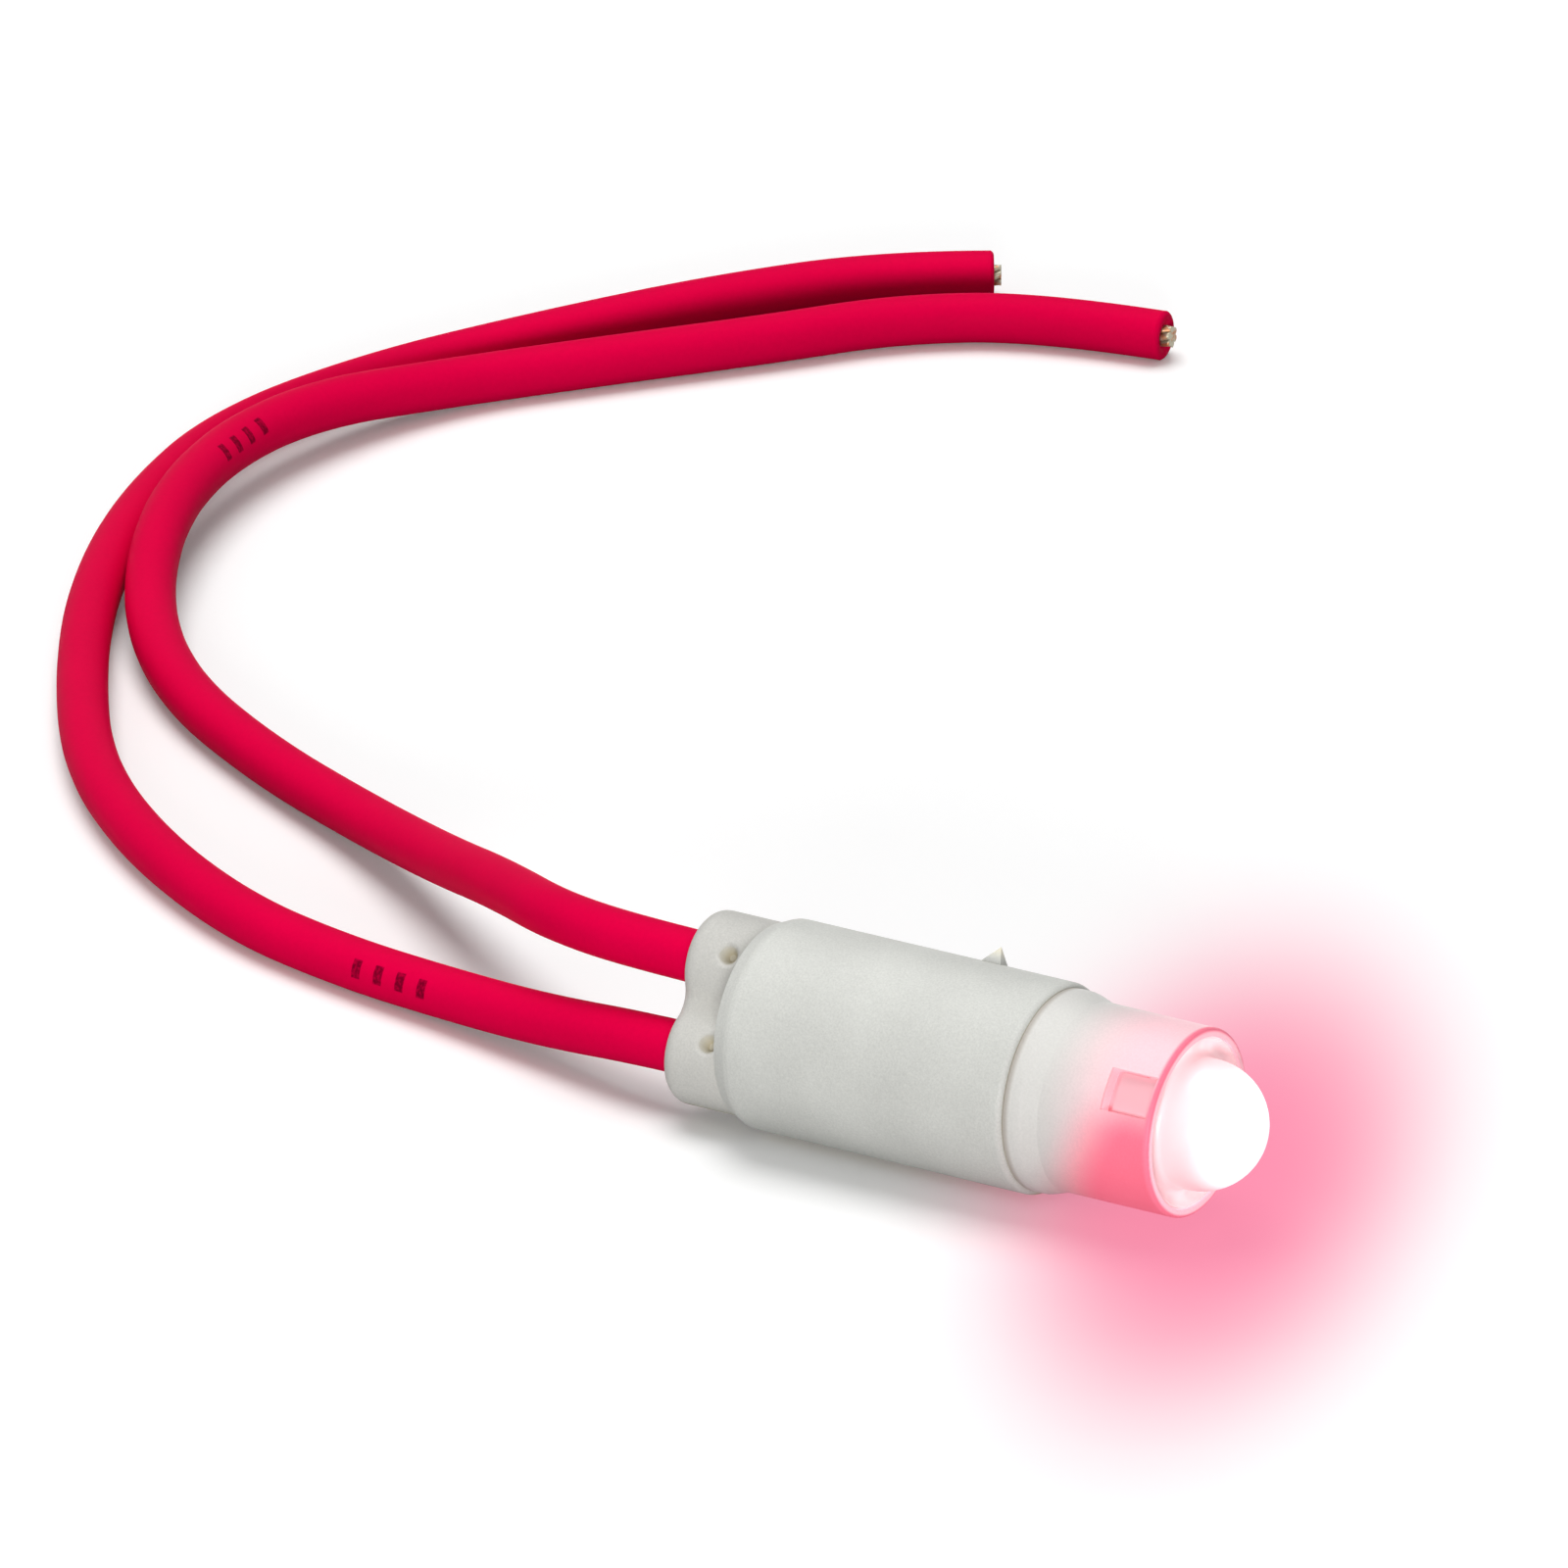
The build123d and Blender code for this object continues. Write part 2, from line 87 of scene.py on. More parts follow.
def vectors(tree, label, operation, first, second):
    node = addNode(tree, "ShaderNodeVectorMath", label, operation=operation)
    feed(tree, node.inputs[0], first)
    feed(tree, node.inputs["Scale"] if operation == "SCALE" else node.inputs[1], second)
    return node.outputs["Value" if operation == "DOT_PRODUCT" else "Vector"]


# Masks, each at its own strength, added up
def weighted(tree, label, parts):
    products = [maths(tree, label + ", one part", "MULTIPLY", mask, strength) for mask, strength in parts]
    whole = products[0]
    for product in products[1:]:
        whole = maths(tree, label, "ADD", whole, product)
    return whole


# How far a value has come from low to high, as 0 to 1 or between two other values
def ramp(tree, label, value, low, high, lowOut=0.0, highOut=1.0, smooth=True):
    node = addNode(tree, "ShaderNodeMapRange", label)
    node.interpolation_type = "SMOOTHSTEP" if smooth else "LINEAR"
    for socket, given in zip(node.inputs, (value, low, high, lowOut, highOut)):
        feed(tree, socket, given)
    return node.outputs[0]


def mixColour(tree, label, share, first, second):
    node = addNode(tree, "ShaderNodeMix", label, data_type="RGBA")
    feed(tree, node.inputs[0], share)
    feed(tree, node.inputs[6], first)  # the two inputs and the output that are colours
    feed(tree, node.inputs[7], second)
    return node.outputs[2]


def noise(tree, label, place, perMetre, detail=2.0):
    node = addNode(tree, "ShaderNodeTexNoise", label)
    join(tree, place, node.inputs["Vector"])
    feed(tree, node.inputs["Scale"], perMetre)
    node.inputs["Detail"].default_value = detail
    return node.outputs[0]


# Places drawn out along the lamp, for marks that run that way
def stretched(tree, label, place, share):
    node = addNode(tree, "ShaderNodeMapping", label)
    node.inputs["Scale"].default_value = (share, 1.0, 1.0)
    join(tree, place, node.inputs["Vector"])
    return node.outputs[0]


def apart(tree, place):
    node = addNode(tree, "ShaderNodeSeparateXYZ", "row frame")
    join(tree, place, node.inputs[0])
    return node.outputs


def newGroup(name, inputs, outputs):
    tree = bpy.data.node_groups.new(name, "ShaderNodeTree")
    for label, kind, value in inputs:
        socket = tree.interface.new_socket(label, in_out="INPUT", socket_type=kind)
        socket.default_value = value
    for label, kind in outputs:
        tree.interface.new_socket(label, in_out="OUTPUT", socket_type=kind)
    start = tree.nodes.new("NodeGroupInput")
    end = tree.nodes.new("NodeGroupOutput")
    return tree, start.outputs, end.inputs


def useGroup(tree, group, label, **values):
    node = addNode(tree, "ShaderNodeGroup", label)
    node.node_tree = group
    for name, value in values.items():
        feed(tree, node.inputs[name], value)
    return node.outputs


def newMaterial(name):
    material = bpy.data.materials.new(name)
    material.use_nodes = True
    tree = material.node_tree
    surface = tree.nodes["Principled BSDF"]
    place = addNode(tree, "ShaderNodeTexCoord", "place in the row frame").outputs["Object"]
    return material, tree, surface, place


def setFinish(surface, roughness, gloss=0.5):
    surface.inputs["Roughness"].default_value = roughness
    surface.inputs["Specular IOR Level"].default_value = gloss


# Shared effects

grainLook = {
    "fineDetail": 3.0,
    "flowPerMetre": 160.0,
    "flowDetail": 4.0,
    "relief": 0.6,
}


# The fine sparkle of spark-eroded mould steel over broad flow marks: a colour mottle and a bump
def buildMouldedGrain():
    tree, given, out = newGroup(
        "mouldedGrain",
        [
            ("Place", "NodeSocketVector", (0, 0, 0)),
            ("Colour", "NodeSocketColor", (1, 1, 1, 1)),
            ("GrainPerMetre", "NodeSocketFloat", 6000.0),
            ("Mottle", "NodeSocketFloat", 0.05),
            ("Depth", "NodeSocketFloat", 0.02 * mm),
        ],
        [("Colour", "NodeSocketColor"), ("Normal", "NodeSocketVector")],
    )
    fine = noise(tree, "fine grain", given["Place"], given["GrainPerMetre"], grainLook["fineDetail"])
    flow = noise(tree, "flow marks", given["Place"], grainLook["flowPerMetre"], grainLook["flowDetail"])
    both = maths(tree, "both", "ADD", fine, flow)
    centred = maths(tree, "about nought", "SUBTRACT", both, 1.0)  # each of the two is about a half
    amount = maths(tree, "mottle", "MULTIPLY", centred, given["Mottle"])
    factor = maths(tree, "brightness", "ADD", amount, 1.0)
    bump = addNode(tree, "ShaderNodeBump", "grain relief")
    bump.inputs["Strength"].default_value = grainLook["relief"]
    join(tree, given["Depth"], bump.inputs["Distance"])
    join(tree, fine, bump.inputs["Height"])
    join(tree, vectors(tree, "mottled colour", "SCALE", given["Colour"], factor), out["Colour"])
    join(tree, bump.outputs[0], out["Normal"])
    return tree


# Where a point lies on the lamp: along its axis, out from it, and how much it faces down and the near side
def buildLampPlace():
    tree, given, out = newGroup(
        "lampPlace",
        [("Place", "NodeSocketVector", (0, 0, 0))],
        [
            ("Along", "NodeSocketFloat"),
            ("Out", "NodeSocketFloat"),
            ("Down", "NodeSocketFloat"),
            ("Near", "NodeSocketFloat"),
        ],
    )
    x, y, z = apart(tree, given["Place"])
    height = maths(tree, "height over the axis", "SUBTRACT", z, lamp["axisHeight"])
    squares = [maths(tree, "squared", "MULTIPLY", side, side) for side in (y, height)]
    radius = maths(tree, "radius", "SQRT", maths(tree, "sum", "ADD", *squares))
    safe = maths(tree, "never nought", "MAXIMUM", radius, 0.001 * mm)
    for name, side in (("Down", height), ("Near", y)):
        turned = maths(tree, "turned round", "MULTIPLY", side, -1.0)
        join(tree, maths(tree, "share", "DIVIDE", turned, safe), out[name])
    join(tree, x, out["Along"])
    join(tree, radius, out["Out"])
    return tree


mouldedGrain = buildMouldedGrain()
lampPlace = buildLampPlace()


# Sleeve and rear cap

housing = {
    "colour": linear(202, 203, 198),
    "capColour": linear(194, 193, 188),
    # the yellow-brown of the painted shade in hollows
    "hollow": linear(178, 168, 140),
    "barb": linear(226, 221, 200),
    "roughness": 0.55,
    "gloss": 0.3,
    "grainPerMetre": 9000.0,
    "mottle": 0.36,
    "grainDepth": 0.018 * mm,
    # How open a place is where the painted shade starts, and how far off its neighbours count
    "sleeveHollows": (0.75, 0.8 * mm),
    "capHollows": (0.95, 1.6 * mm),
    "deepestHollow": 0.1,
    "hollowSamples": 8,
    "barbSpan": (5.75 * mm, 6.5 * mm),  # out from the axis
}


# Off-white grained plastic with painted shade in its hollows, and yellower out on the thin barb
def housingPlastic(name, colour, hollows):
    material, tree, surface, place = newMaterial(name)
    grain = useGroup(
        tree, mouldedGrain, "grain", Place=place, Colour=colour,
        GrainPerMetre=housing["grainPerMetre"], Mottle=housing["mottle"], Depth=housing["grainDepth"],
    )
    hollowStart, hollowReach = hollows
    # Painted shade: an occlusion mask darkens the hollows to a yellow-brown
    shade = addNode(tree, "ShaderNodeAmbientOcclusion", "hollows")
    shade.samples = housing["hollowSamples"]
    shade.inputs["Distance"].default_value = hollowReach
    hollow = ramp(tree, "in a hollow", shade.outputs["AO"], hollowStart, housing["deepestHollow"])
    mixed = mixColour(tree, "painted shade in hollows", hollow, grain["Colour"], housing["hollow"])
    at = useGroup(tree, lampPlace, "place on the lamp", Place=place)
    thin = ramp(tree, "out on the barb", at["Out"], *housing["barbSpan"])
    mixed = mixColour(tree, "thin barb", thin, mixed, housing["barb"])
    join(tree, mixed, surface.inputs["Base Color"])
    join(tree, grain["Normal"], surface.inputs["Normal"])
    setFinish(surface, housing["roughness"], housing["gloss"])
    return material


# Front collar; a span is where an effect starts and where it is full

collar = {
    "rear": linear(212, 211, 207),
    # lit, deep, rim, inside and rim face are the LED's light painted on in pink
    "lit": linear(240, 194, 202),
    "deep": linear(232, 108, 131),
    "rim": linear(240, 118, 142),
    # painted shade in the groove
    "groove": linear(176, 170, 162),
    "inside": linear(240, 184, 193),
    "rimFace": linear(246, 182, 194),
    "roughness": 0.42,
    "gloss": 0.15,
    "frostPerMetre": 8000.0,
    "frostMottle": 0.18,
    "frostDepth": 0.01 * mm,
    "litSpan": (1.5 * mm, 6.8 * mm),  # ahead of the sleeve, as the next three
    "deepSpan": (2.4 * mm, 6.8 * mm),
    "grooveSpan": (0.45 * mm, 0.1 * mm),
    "rimSpan": (8.1 * mm, 8.35 * mm),
    "lean": 2.6 * mm,  # how much further back the deep pink starts at the bottom than at the side
    "lowSpan": (-0.75, -0.1),  # how much a place faces down
    "insideSpan": (4.92 * mm, 4.8 * mm),  # out from the axis, as the next
    "rimEdgeSpan": (4.72 * mm, 4.9 * mm),
    "frontGlow": 0.15,
    "deepGlow": 0.2,
    "innerGlow": 0.3,
}


# Grey-white where it leaves the sleeve, with the LED's light painted on as pink towards the rim, deepest low
# down
def frostedPlastic():
    material, tree, surface, place = newMaterial("frostedPlastic")
    at = useGroup(tree, lampPlace, "place on the lamp", Place=place)
    ahead = maths(tree, "ahead of the sleeve", "SUBTRACT", at["Along"], lamp["sleeveFront"])
    front = ramp(tree, "towards the rim", ahead, *collar["litSpan"])
    lean = maths(tree, "lean", "MULTIPLY", at["Down"], collar["lean"])
    edge = maths(tree, "past the light's edge", "ADD", ahead, lean)
    reached = ramp(tree, "lit deep", edge, *collar["deepSpan"])
    low = ramp(tree, "low enough", at["Down"], *collar["lowSpan"])
    deep = maths(tree, "deep pink", "MULTIPLY", reached, low, clamp=True)
    # Painted shade along the groove next to the sleeve
    groove = ramp(tree, "in the groove", ahead, *collar["grooveSpan"])
    within = ramp(tree, "within the tube", at["Out"], *collar["insideSpan"])
    rim = ramp(tree, "on the rim", ahead, *collar["rimSpan"])
    rimEdge = ramp(tree, "outer edge of the rim", at["Out"], *collar["rimEdgeSpan"])
    rimColour = mixColour(tree, "rim's face and edge", rimEdge, collar["rimFace"], collar["rim"])
    colour = mixColour(tree, "lit", front, collar["rear"], collar["lit"])
    layers = [
        ("deep", deep, collar["deep"]),
        ("groove", groove, collar["groove"]),
        ("inside", within, collar["inside"]),
        ("rim", rim, rimColour),
    ]
    for label, share, layer in layers:
        colour = mixColour(tree, label, share, colour, layer)
    frost = useGroup(
        tree, mouldedGrain, "frost", Place=place, Colour=colour,
        GrainPerMetre=collar["frostPerMetre"], Mottle=collar["frostMottle"], Depth=collar["frostDepth"],
    )
    # Emission paints the LED's light shining through the frosted wall
    glow = weighted(tree, "glow", [
        (front, collar["frontGlow"]),
        (deep, collar["deepGlow"]),
        (within, collar["innerGlow"]),
    ])
    join(tree, frost["Colour"], surface.inputs["Base Color"])
    join(tree, frost["Normal"], surface.inputs["Normal"])
    join(tree, frost["Colour"], surface.inputs["Emission Color"])
    join(tree, glow, surface.inputs["Emission Strength"])
    setFinish(surface, collar["roughness"], collar["gloss"])
    return material


# Lens

lens = {
    "body": linear(250, 218, 221),
    "latch": linear(240, 178, 187),
    "domeLight": [1.0, 1.0, 1.0, 1.0],
    "roughness": 0.3,
    "bowlGlow": 0.05,
    "crescentGlow": 0.45,
    "flareGlow": 0.12,
    "domeGlow": 0.6,
    "domeSpan": (3.5 * mm, 2.7 * mm),  # out from the axis, as the next three
    "outerBowlSpan": (3.5 * mm, 3.9 * mm),
    "rimSpan": (4.61 * mm, 4.57 * mm),
    "flareSpan": (4.2 * mm, 3.4 * mm),
    "frontSpan": (-1.1 * mm, -0.9 * mm),  # ahead of the rim
    "lowCrescent": (0.35, 0.9, 0.0, 1.0),  # from and to round the bowl, then how bright at each
    "highCrescent": (-0.7, -0.95, 0.0, 0.8),
    "farCrescent": (0.1, -0.5, 0.0, 0.7),
    "cloudPerMetre": 620.0,
    "cloudShare": (0.35, 0.65, 0.6, 1.0),
}


# A white dome and a pinker bowl whose glow paints the LED's light, with painted bright crescents low, high
# and on the far side, and dull latches
def lensPlastic():
    material, tree, surface, place = newMaterial("lensPlastic")
    at = useGroup(tree, lampPlace, "place on the lamp", Place=place)
    dome = ramp(tree, "on the dome", at["Out"], *lens["domeSpan"])
    outerBowl = ramp(tree, "outer bowl", at["Out"], *lens["outerBowlSpan"])
    fromRim = maths(tree, "from the rim", "SUBTRACT", at["Along"], lamp["rim"])
    within = ramp(tree, "within the rim", at["Out"], *lens["rimSpan"])
    atFront = ramp(tree, "at the front", fromRim, *lens["frontSpan"])
    inside = maths(tree, "in the bowl or on the dome", "MULTIPLY", within, atFront)
    # Painted reflections of the LED's light: crescents of the bowl brighter low, high and on the far side
    low = ramp(tree, "low", at["Down"], *lens["lowCrescent"])
    high = ramp(tree, "high", at["Down"], *lens["highCrescent"])
    far = ramp(tree, "far side", at["Near"], *lens["farCrescent"])
    lowOrHigh = maths(tree, "low or high", "MAXIMUM", low, high)
    brightest = maths(tree, "low, high or far", "MAXIMUM", lowOrHigh, far)
    crescents = maths(tree, "crescents", "MULTIPLY", brightest, outerBowl)
    cloud = noise(tree, "cloud in the glow", place, lens["cloudPerMetre"])
    uneven = ramp(tree, "uneven", cloud, *lens["cloudShare"])
    bowl = weighted(tree, "bowl", [(inside, lens["bowlGlow"]), (crescents, lens["crescentGlow"])])
    clouded = maths(tree, "clouded", "MULTIPLY", bowl, uneven)
    beside = ramp(tree, "beside the dome", at["Out"], *lens["flareSpan"])
    flare = maths(tree, "flare in front", "MULTIPLY", beside, inside)
    middle = weighted(tree, "middle", [(flare, lens["flareGlow"]), (dome, lens["domeGlow"])])
    glow = maths(tree, "whole glow", "ADD", clouded, middle)
    colour = mixColour(tree, "latch or lens", inside, lens["latch"], lens["body"])
    shine = mixColour(tree, "whiter on the dome", dome, lens["body"], lens["domeLight"])
    join(tree, colour, surface.inputs["Base Color"])
    join(tree, shine, surface.inputs["Emission Color"])
    join(tree, glow, surface.inputs["Emission Strength"])
    setFinish(surface, lens["roughness"])
    return material


# Wires, solder and components inside the sleeve

metal = {
    "ledWire": ([0.74, 0.74, 0.73, 1.0], 0.3, 9000.0),  # colour, roughness and marks in a metre
    "componentWire": ([0.72, 0.72, 0.71, 1.0], 0.32, 8000.0),
    "solder": ([0.7, 0.7, 0.69, 1.0], 0.4, 2500.0),
    "stretch": 0.08,
    "shineSpan": (0.3, 0.7),
    "smoothest": 0.6,  # share of the roughness
}
board = {
    "paper": linear(150, 108, 52),
    "resin": linear(196, 152, 84),
    "roughness": 0.5,
    "fibresPerMetre": 4200.0,
    "fibreDetail": 6.0,
    "stretch": 0.15,
}
led = {
    "base": linear(214, 70, 88),
    "tip": linear(255, 130, 150),
    "light": linear(255, 60, 90),
    "roughness": 0.2,
    "tintFrom": lamp["sleeveFront"] + 2 * mm,
    "glow": (0.2, 2.0),  # at the lamp's middle and at its rim
}

# Each band is where it lies from the body's middle, its half width and its colour
sleeveMiddle = 8.7 * mm - lamp["middle"]
chip = {
    "colour": linear(200, 170, 90),
    "roughness": 0.3,
    "middle": sleeveMiddle,
    "bands": [],
}
resistor = {
    "colour": linear(206, 178, 132),
    "roughness": 0.35,
    "middle": sleeveMiddle - 0.2 * mm,
    "bands": [
        (-1.6 * mm, 0.24 * mm, linear(120, 60, 30)),
        (-0.55 * mm, 0.24 * mm, linear(30, 28, 28)),
        (0.5 * mm, 0.24 * mm, linear(230, 190, 60)),
        (1.55 * mm, 0.24 * mm, linear(190, 150, 60)),
    ],
}
rectifier = {
    "colour": linear(34, 34, 36),
    "roughness": 0.5,
    "middle": sleeveMiddle,
    "bands": [(1.7 * mm, 0.4 * mm, linear(190, 192, 192))],
}
glassDiode = {
    "colour": linear(206, 110, 60),
    "roughness": 0.12,
    "middle": sleeveMiddle,
    "bands": [(1.1 * mm, 0.3 * mm, linear(24, 24, 26))],
}
lacquer = {
    "grainPerMetre": 7000.0,
    "mottle": 0.12,
    "grainDepth": 0.006 * mm,
    "bandEdge": 0.04 * mm,
}


# Bright wire or solder with fine drawing marks along the lamp
def drawnMetal(name):
    colour, roughness, marksPerMetre = metal[name]
    material, tree, surface, place = newMaterial(name)
    drawn = stretched(tree, "drawn along", place, metal["stretch"])
    marks = noise(tree, "drawing marks", drawn, marksPerMetre)
    shine = ramp(tree, "uneven shine", marks, *metal["shineSpan"], metal["smoothest"] * roughness, roughness)
    surface.inputs["Base Color"].default_value = colour
    surface.inputs["Metallic"].default_value = 1.0
    join(tree, shine, surface.inputs["Roughness"])
    return material


# Brown phenolic paper with its fibres along the board
def boardLaminate():
    material, tree, surface, place = newMaterial("boardLaminate")
    drawn = stretched(tree, "fibres along", place, board["stretch"])
    fibres = noise(tree, "fibres", drawn, board["fibresPerMetre"], board["fibreDetail"])
    colour = mixColour(tree, "paper and resin", fibres, board["paper"], board["resin"])
    join(tree, colour, surface.inputs["Base Color"])
    setFinish(surface, board["roughness"])
    return material


# A turned body with rings of colour along it
def bandedBody(name, body):
    material, tree, surface, place = newMaterial(name)
    along = apart(tree, place)[0]
    coat = useGroup(
        tree, mouldedGrain, "lacquer", Place=place, Colour=body["colour"],
        GrainPerMetre=lacquer["grainPerMetre"], Mottle=lacquer["mottle"], Depth=lacquer["grainDepth"],
    )
    colour = coat["Colour"]
    for at, half, bandColour in body["bands"]:
        offset = maths(tree, "from the band", "SUBTRACT", along, body["middle"] + at)
        distance = maths(tree, "distance", "ABSOLUTE", offset)
        inside = ramp(tree, "in the band", distance, half + lacquer["bandEdge"], half)
        colour = mixColour(tree, "band", inside, colour, bandColour)
    join(tree, colour, surface.inputs["Base Color"])
    join(tree, coat["Normal"], surface.inputs["Normal"])
    setFinish(surface, body["roughness"])
    return material


# Tinted epoxy, brighter and paler towards the tip
def tintedEpoxy():
    material, tree, surface, place = newMaterial("tintedEpoxy")
    at = useGroup(tree, lampPlace, "place on the lamp", Place=place)
    depth = ramp(tree, "towards the tip", at["Along"], led["tintFrom"], lamp["rim"])
    colour = mixColour(tree, "tint", depth, led["base"], led["tip"])
    glow = ramp(tree, "glow", at["Along"], 0.0, lamp["rim"], *led["glow"])
    join(tree, colour, surface.inputs["Base Color"])
    surface.inputs["Emission Color"].default_value = led["light"]
    join(tree, glow, surface.inputs["Emission Strength"])
    setFinish(surface, led["roughness"])
    return material


def paint(material, *names):
    for name in names:
        nodes[name].data.materials.clear()
        nodes[name].data.materials.append(material)
        for face in nodes[name].data.polygons:
            face.material_index = 0


paint(housingPlastic("housingPlastic", housing["colour"], housing["sleeveHollows"]), "housing_sleeve")
paint(housingPlastic("capPlastic", housing["capColour"], housing["capHollows"]), "rear_cap")
paint(frostedPlastic(), "front_collar")
paint(lensPlastic(), "lens_insert")
paint(tintedEpoxy(), "led_body")
paint(drawnMetal("ledWire"), "led_anode_lead", "led_cathode_lead")
paint(bandedBody("ledChip", chip), "led_chip")
paint(boardLaminate(), "circuit_board")
paint(bandedBody("resistorCoating", resistor), "resistor_body")
paint(bandedBody("rectifierMoulding", rectifier), "rectifier_body")
paint(bandedBody("diodeGlass", glassDiode), "glass_diode_body")
paint(drawnMetal("componentWire"), "resistor_leads", "rectifier_leads", "glass_diode_leads")
paint(drawnMetal("solder"), "solder_joints")
print("lamp's materials made")


# Leads

lead = {
    "radius": 1.4 * mm,
    "colour": linear(220, 0, 65),
    "roughness": 0.55,
    "gloss": 0.01,
    "skinPerMetre": 3800.0,
    "skinMottle": 0.1,
    "skinDepth": 0.008 * mm,
    "alongSteps": 14,
    "roundSteps": 12,
}
cutFace = {
    # Reach past the curve's end and radius of each ring, in millimetres, from the skin in to the wire
    "profile": [
        (0.0, 1.4), (0.05, 1.365), (0.11, 1.32), (0.16, 1.25),
        (0.19, 1.15), (0.19, 1.0), (0.14, 0.8), (0.02, 0.6),
    ],
    "sides": 40,
    "raggedRing": 5,
    "raggedness": 0.02 * mm,
    "raggedTurns": (5, 3),
}
strands = {
    "bundleRadius": 0.625 * mm,
    "length": 0.6 * mm,
    "twist": 0.5,  # radians from end to end
    "around": 6,
    "sides": 14,
    "steps": 4,
    "tin": linear(176, 170, 148),
    "copper": linear(178, 128, 92),
    "patchesPerMetre": 2600.0,
    "patchSpan": (0.48, 0.62),
    "metallic": 0.75,
    "roughness": 0.45,
}
inkRow = {
    "colour": linear(70, 0, 22),
    "facing": (0.45, -0.8, 0.3),
    "length": 6.2 * mm,
    "height": 1.1 * mm,
    "bars": 4,
    "barEdge": (-0.25, -0.5),  # of a wave from -1 to 1
    "softEdge": 0.1 * mm,
    "sideFrom": 0.4 * mm,  # from the lead's centre line
    "wearPerMetre": 5200.0,
    "wear": (0.35, 0.6, 0.45, 0.8),
}

# Their routes on the table in millimetres, from the cap to the cut end
upperRoute = [
    (-11.535, 1.008, 7.723), (-19.1, 1.008, 7.723), (-26.7, 2.6, 7.3), (-34.6, 8.6, 5.6), (-41.6, 14.1, 3.5),
    (-50.6, 20.3, 1.8), (-60.1, 25.3, 1.4), (-69.6, 31.4, 1.4), (-76.9, 39.3, 1.8), (-82.0, 48.7, 3.0),
    (-84.9, 58.8, 3.0), (-84.9, 68.3, 2.6), (-81.9, 77.8, 1.4), (-76.4, 85.2, 1.4), (-70.4, 92.9, 1.4),
    (-65.9, 99.4, 1.4), (-59.4, 103.9, 1.4), (-52.0, 105.0, 1.4),
]
lowerRoute = [
    (-11.535, -1.008, 3.477), (-19.1, -1.008, 3.477), (-26.8, 0.9, 2.2), (-33.8, 2.5, 1.6), (-41.2, 3.8, 1.4),
    (-49.4, 6.1, 1.4), (-59.2, 12.0, 1.4), (-67.9, 19.9, 1.4), (-75.6, 30.9, 1.4), (-81.6, 41.4, 1.4),
    (-86.1, 52.6, 1.4), (-88.5, 64.6, 1.4), (-86.1, 76.3, 1.4), (-81.2, 87.2, 1.4), (-76.2, 96.6, 1.4),
    (-70.3, 104.7, 1.4), (-65.1, 108.0, 1.4),
]


# A mask for one short row of plain ink bars on the side of a lead that a direction points to
def buildInkBars():
    tree, given, out = newGroup(
        "inkBars",
        [
            ("Place", "NodeSocketVector", (0, 0, 0)),
            ("Centre", "NodeSocketVector", (0, 0, 0)),
            ("Along", "NodeSocketVector", (1, 0, 0)),
            ("Facing", "NodeSocketVector", (0, 0, 1)),
            ("Length", "NodeSocketFloat", 5 * mm),
            ("Height", "NodeSocketFloat", 1 * mm),
        ],
        [("Ink", "NodeSocketFloat")],
    )
    offset = vectors(tree, "from the centre", "SUBTRACT", given["Place"], given["Centre"])
    across = vectors(tree, "across direction", "CROSS_PRODUCT", given["Along"], given["Facing"])
    lengthways = vectors(tree, "lengthways", "DOT_PRODUCT", offset, given["Along"])
    outwards = vectors(tree, "outwards", "DOT_PRODUCT", offset, given["Facing"])
    crossways = vectors(tree, "crossways", "DOT_PRODUCT", offset, across)
    halfLength = maths(tree, "half the row", "MULTIPLY", given["Length"], 0.5)
    fromMiddle = maths(tree, "from the middle", "ABSOLUTE", lengthways)
    inRow = maths(tree, "in the row", "LESS_THAN", fromMiddle, halfLength)
    share = maths(tree, "share of the row", "DIVIDE", lengthways, given["Length"])
    turns = maths(tree, "one turn for each bar", "MULTIPLY", share, 2 * math.pi * inkRow["bars"])
    bars = ramp(tree, "bars", maths(tree, "waves", "COSINE", turns), *inkRow["barEdge"])
    halfHeight = maths(tree, "half the height", "MULTIPLY", given["Height"], 0.5)
    fromLine = maths(tree, "from the line", "ABSOLUTE", crossways)
    toEdge = maths(tree, "to the edge", "SUBTRACT", halfHeight, fromLine)
    inHeight = ramp(tree, "in the height", toEdge, 0.0, inkRow["softEdge"])
    onSide = maths(tree, "on that side", "GREATER_THAN", outwards, inkRow["sideFrom"])
    worn = noise(tree, "worn ink", given["Place"], inkRow["wearPerMetre"])
    wear = ramp(tree, "wear", worn, *inkRow["wear"])
    ink = inRow
    for mask in (bars, inHeight, onSide, wear):
        ink = maths(tree, "ink that is left", "MULTIPLY", ink, mask)
    join(tree, ink, out["Ink"])
    return tree


inkBars = buildInkBars()


# Satin soft PVC with faint marks in its skin and one row of plain ink bars
def leadPvc(name, inkCentre, inkAlong):
    material, tree, surface, place = newMaterial(name)
    skin = useGroup(
        tree, mouldedGrain, "extruded skin", Place=place, Colour=lead["colour"],
        GrainPerMetre=lead["skinPerMetre"], Mottle=lead["skinMottle"], Depth=lead["skinDepth"],
    )
    direction = Vector(inkAlong).normalized()
    facing = Vector(inkRow["facing"])
    facing = (facing - facing.dot(direction) * direction).normalized()
    ink = useGroup(
        tree, inkBars, "row of ink bars", Place=place, Centre=Vector(inkCentre) * mm, Along=direction,
        Facing=facing, Length=inkRow["length"], Height=inkRow["height"],
    )
    colour = mixColour(tree, "inked", ink["Ink"], skin["Colour"], inkRow["colour"])
    join(tree, colour, surface.inputs["Base Color"])
    join(tree, skin["Normal"], surface.inputs["Normal"])
    setFinish(surface, lead["roughness"], lead["gloss"])
    return material


